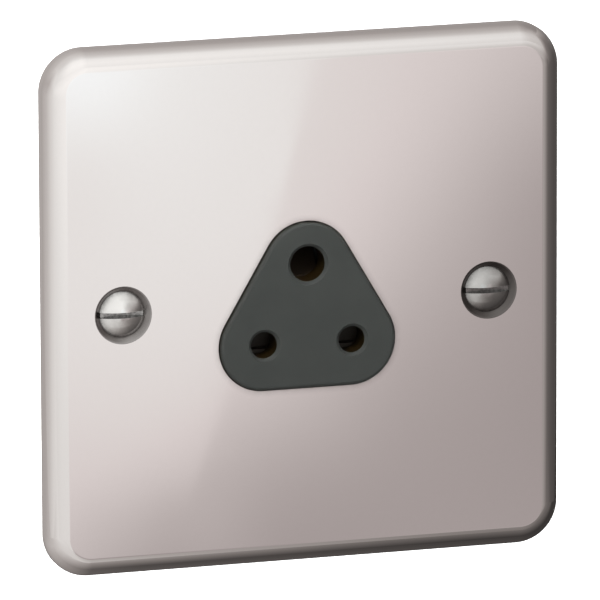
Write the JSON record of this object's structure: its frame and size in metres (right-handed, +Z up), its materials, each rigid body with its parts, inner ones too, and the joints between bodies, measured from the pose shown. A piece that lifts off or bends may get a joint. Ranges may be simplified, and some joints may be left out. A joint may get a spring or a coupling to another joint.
{
  "type": "unswitched wall socket",
  "caption": "Square metal wall socket with a dark rounded triangular insert for a round-pin plug, slotted fixing screws and a spring shutter behind.",
  "frame": {"origin": "on the wall's surface, midway between the two fixing screws", "axes": "+X right seen from the room, +Y into the wall, +Z up"},
  "size_m": [0.085, 0.0266, 0.085],
  "materials": {
    "plate_steel": "polished stainless steel",
    "dark_moulding": "dark greenish grey thermoset, satin",
    "shutter_plastic": "dark brown moulded plastic",
    "strap_steel": "zinc plated",
    "spring_steel": "drawn wire",
    "contact_brass": "rolled, slightly dull",
    "terminal_brass": "machined",
    "plated_screw": "zinc plated",
    "polished_screw": "polished",
    "retainer_nylon": "natural"
  },
  "bodies": {
    "socket": {"front_plate": "plate_steel", "socket_front": "dark_moulding", "socket_base": "dark_moulding", "earth_strap": "strap_steel", "shutter_spring": "spring_steel", "line_contact": "contact_brass", "neutral_contact": "contact_brass", "earth_contact": "contact_brass", "line_terminal": "terminal_brass", "neutral_terminal": "terminal_brass", "earth_terminal": "terminal_brass", "line_terminal_screw": "plated_screw", "neutral_terminal_screw": "plated_screw", "earth_terminal_screw": "plated_screw", "housing_screw_1": "plated_screw", "housing_screw_2": "plated_screw", "housing_screw_3": "plated_screw", "housing_screw_4": "plated_screw", "fixing_screw_left": "polished_screw", "fixing_screw_right": "polished_screw", "screw_retainer_left": "retainer_nylon", "screw_retainer_right": "retainer_nylon", "plate_stud_lower": "plated_screw", "plate_stud_upper": "plated_screw", "stud_nut_lower": "plated_screw", "stud_nut_upper": "plated_screw"},
    "shutter": {"shutter": "shutter_plastic"}
  },
  "joints": [
    {"name": "shutter_slide", "type": "slide", "parent": "socket", "child": "shutter", "axis": [0, 0, -1], "range_m": [0, 0.0052], "stiffness_N_per_m": 150, "springref_m": -0.003, "deforming": ["shutter_spring"]}
  ]
}
